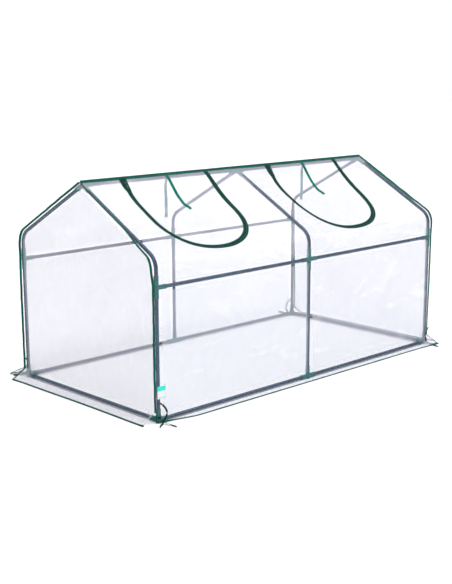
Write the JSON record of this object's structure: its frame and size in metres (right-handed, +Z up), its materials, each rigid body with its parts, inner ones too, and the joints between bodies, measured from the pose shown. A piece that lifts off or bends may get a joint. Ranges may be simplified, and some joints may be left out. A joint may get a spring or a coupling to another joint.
{
  "type": "mini greenhouse",
  "caption": "Low gabled greenhouse: steel tube arches in plastic connectors under a clear film cover, with U-shaped zipped doors in the front roof slope.",
  "frame": {"origin": "on the ground at the middle of the footprint", "axes": "+Z up, +X along the ridge towards the right gable, -Y towards the front slope with the doors"},
  "size_m": [1.944, 1.1126, 0.9395],
  "materials": {
    "coated_steel": "semi-gloss powder coat over steel tube",
    "connector_plastic": "moulded, satin",
    "clear_film": "clear flexible PVC film, softly creased",
    "binding": "woven edge binding tape",
    "zip_tape": "woven zip tape with coil",
    "zip_metal": "painted die-cast",
    "tie_tape": "woven tape",
    "ribbon": "woven ribbon",
    "label": "printed blank label"
  },
  "bodies": {
    "frame_and_cover": {"left_back_base_connector": "connector_plastic", "left_back_base_rail": "coated_steel", "left_back_mid_connector": "connector_plastic", "left_back_mid_rail": "coated_steel", "left_back_post": "coated_steel", "left_back_rafter": "coated_steel", "left_front_base_connector": "connector_plastic", "left_front_base_rail": "coated_steel", "left_front_mid_connector": "connector_plastic", "left_front_mid_rail": "coated_steel", "left_front_post": "coated_steel", "left_front_rafter": "coated_steel", "left_gable_base_rail": "coated_steel", "left_ridge_connector": "connector_plastic", "left_ridge_rail": "coated_steel", "middle_back_base_connector": "connector_plastic", "middle_back_mid_connector": "connector_plastic", "middle_back_post": "coated_steel", "middle_back_rafter": "coated_steel", "middle_front_base_connector": "connector_plastic", "middle_front_mid_connector": "connector_plastic", "middle_front_post": "coated_steel", "middle_front_rafter": "coated_steel", "middle_ridge_connector": "connector_plastic", "right_back_base_connector": "connector_plastic", "right_back_base_rail": "coated_steel", "right_back_mid_connector": "connector_plastic", "right_back_mid_rail": "coated_steel", "right_back_post": "coated_steel", "right_back_rafter": "coated_steel", "right_front_base_connector": "connector_plastic", "right_front_base_rail": "coated_steel", "right_front_mid_connector": "connector_plastic", "right_front_mid_rail": "coated_steel", "right_front_post": "coated_steel", "right_front_rafter": "coated_steel", "right_gable_base_rail": "coated_steel", "right_ridge_connector": "connector_plastic", "right_ridge_rail": "coated_steel", "front_film": "clear_film", "back_film": "clear_film", "left_gable_film": "clear_film", "right_gable_film": "clear_film", "seam_bindings": "binding", "hem_bindings": "binding", "cover_zip_tapes": "zip_tape", "corner_ties": "ribbon", "care_label": "label"},
    "left_door": {"left_door_film": "clear_film", "left_door_zip_tape": "zip_tape"},
    "left_slider": {"left_zip_slider": "zip_metal"},
    "left_pull": {"left_zip_pull": "zip_metal"},
    "left_outside_tie": {"left_outer_tie": "tie_tape"},
    "left_inside_tie": {"left_inner_tie": "tie_tape"},
    "right_door": {"right_door_film": "clear_film", "right_door_zip_tape": "zip_tape"},
    "right_slider": {"right_zip_slider": "zip_metal"},
    "right_pull": {"right_zip_pull": "zip_metal"},
    "right_outside_tie": {"right_outer_tie": "tie_tape"},
    "right_inside_tie": {"right_inner_tie": "tie_tape"}
  },
  "joints": [
    {"name": "left_door_lift", "type": "hinge", "parent": "frame_and_cover", "child": "left_door", "pos_m": [-0.446, 0, 0.93951], "axis": [-1, 0, 0], "range_deg": [0, 180]},
    {"name": "left_outside_tie_lift", "type": "hinge", "parent": "left_door", "child": "left_outside_tie", "pos_m": [-0.446, -0.01439, 0.92467], "axis": [-1, 0, 0], "range_deg": [0, 45]},
    {"name": "left_inside_tie_swing", "type": "hinge", "parent": "frame_and_cover", "child": "left_inside_tie", "pos_m": [-0.446, -0.0125, 0.916], "axis": [-1, 0, 0], "range_deg": [-40, 45]},
    {"name": "left_zip_travel", "type": "slide", "parent": "frame_and_cover", "child": "left_slider", "axis": [0, -0.875, -0.4842], "range_m": [0, 0.2]},
    {"name": "left_pull_flip", "type": "hinge", "parent": "left_slider", "child": "left_pull", "pos_m": [-0.682, -0.03149, 0.91737], "axis": [-1, 0, 0], "range_deg": [0, 80]},
    {"name": "right_door_lift", "type": "hinge", "parent": "frame_and_cover", "child": "right_door", "pos_m": [0.446, 0, 0.93951], "axis": [-1, 0, 0], "range_deg": [0, 180]},
    {"name": "right_outside_tie_lift", "type": "hinge", "parent": "right_door", "child": "right_outside_tie", "pos_m": [0.446, -0.01439, 0.92467], "axis": [-1, 0, 0], "range_deg": [0, 45]},
    {"name": "right_inside_tie_swing", "type": "hinge", "parent": "frame_and_cover", "child": "right_inside_tie", "pos_m": [0.446, -0.0125, 0.916], "axis": [-1, 0, 0], "range_deg": [-40, 45]},
    {"name": "right_zip_travel", "type": "slide", "parent": "frame_and_cover", "child": "right_slider", "axis": [0, -0.875, -0.4842], "range_m": [0, 0.2]},
    {"name": "right_pull_flip", "type": "hinge", "parent": "right_slider", "child": "right_pull", "pos_m": [0.21, -0.03149, 0.91737], "axis": [-1, 0, 0], "range_deg": [0, 80]}
  ]
}
